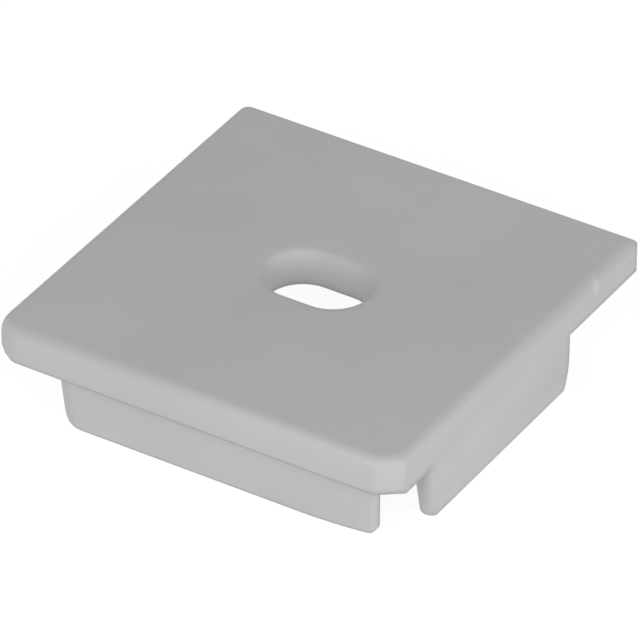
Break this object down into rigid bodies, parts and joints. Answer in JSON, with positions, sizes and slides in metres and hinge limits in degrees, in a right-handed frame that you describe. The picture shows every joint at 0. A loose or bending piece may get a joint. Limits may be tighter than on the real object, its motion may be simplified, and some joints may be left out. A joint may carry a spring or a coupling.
{
  "type": "profile end cap",
  "caption": "Square plastic end cap for an extruded profile, with an oblong cable slot through the plate and low plug walls beneath that push into the profile.",
  "frame": {"origin": "middle of the square plate, at the level of the foot of the plug walls", "axes": "+X along the front edge towards the corner that is cut off straight, +Y from the front wall towards the open back, +Z out of the profile through the plate"},
  "size_m": [0.017, 0.017, 0.0041],
  "materials": {
    "grey_plastic": "moulded, fine matte"
  },
  "bodies": {
    "root": {"end_cap": "grey_plastic"}
  },
  "joints": []
}
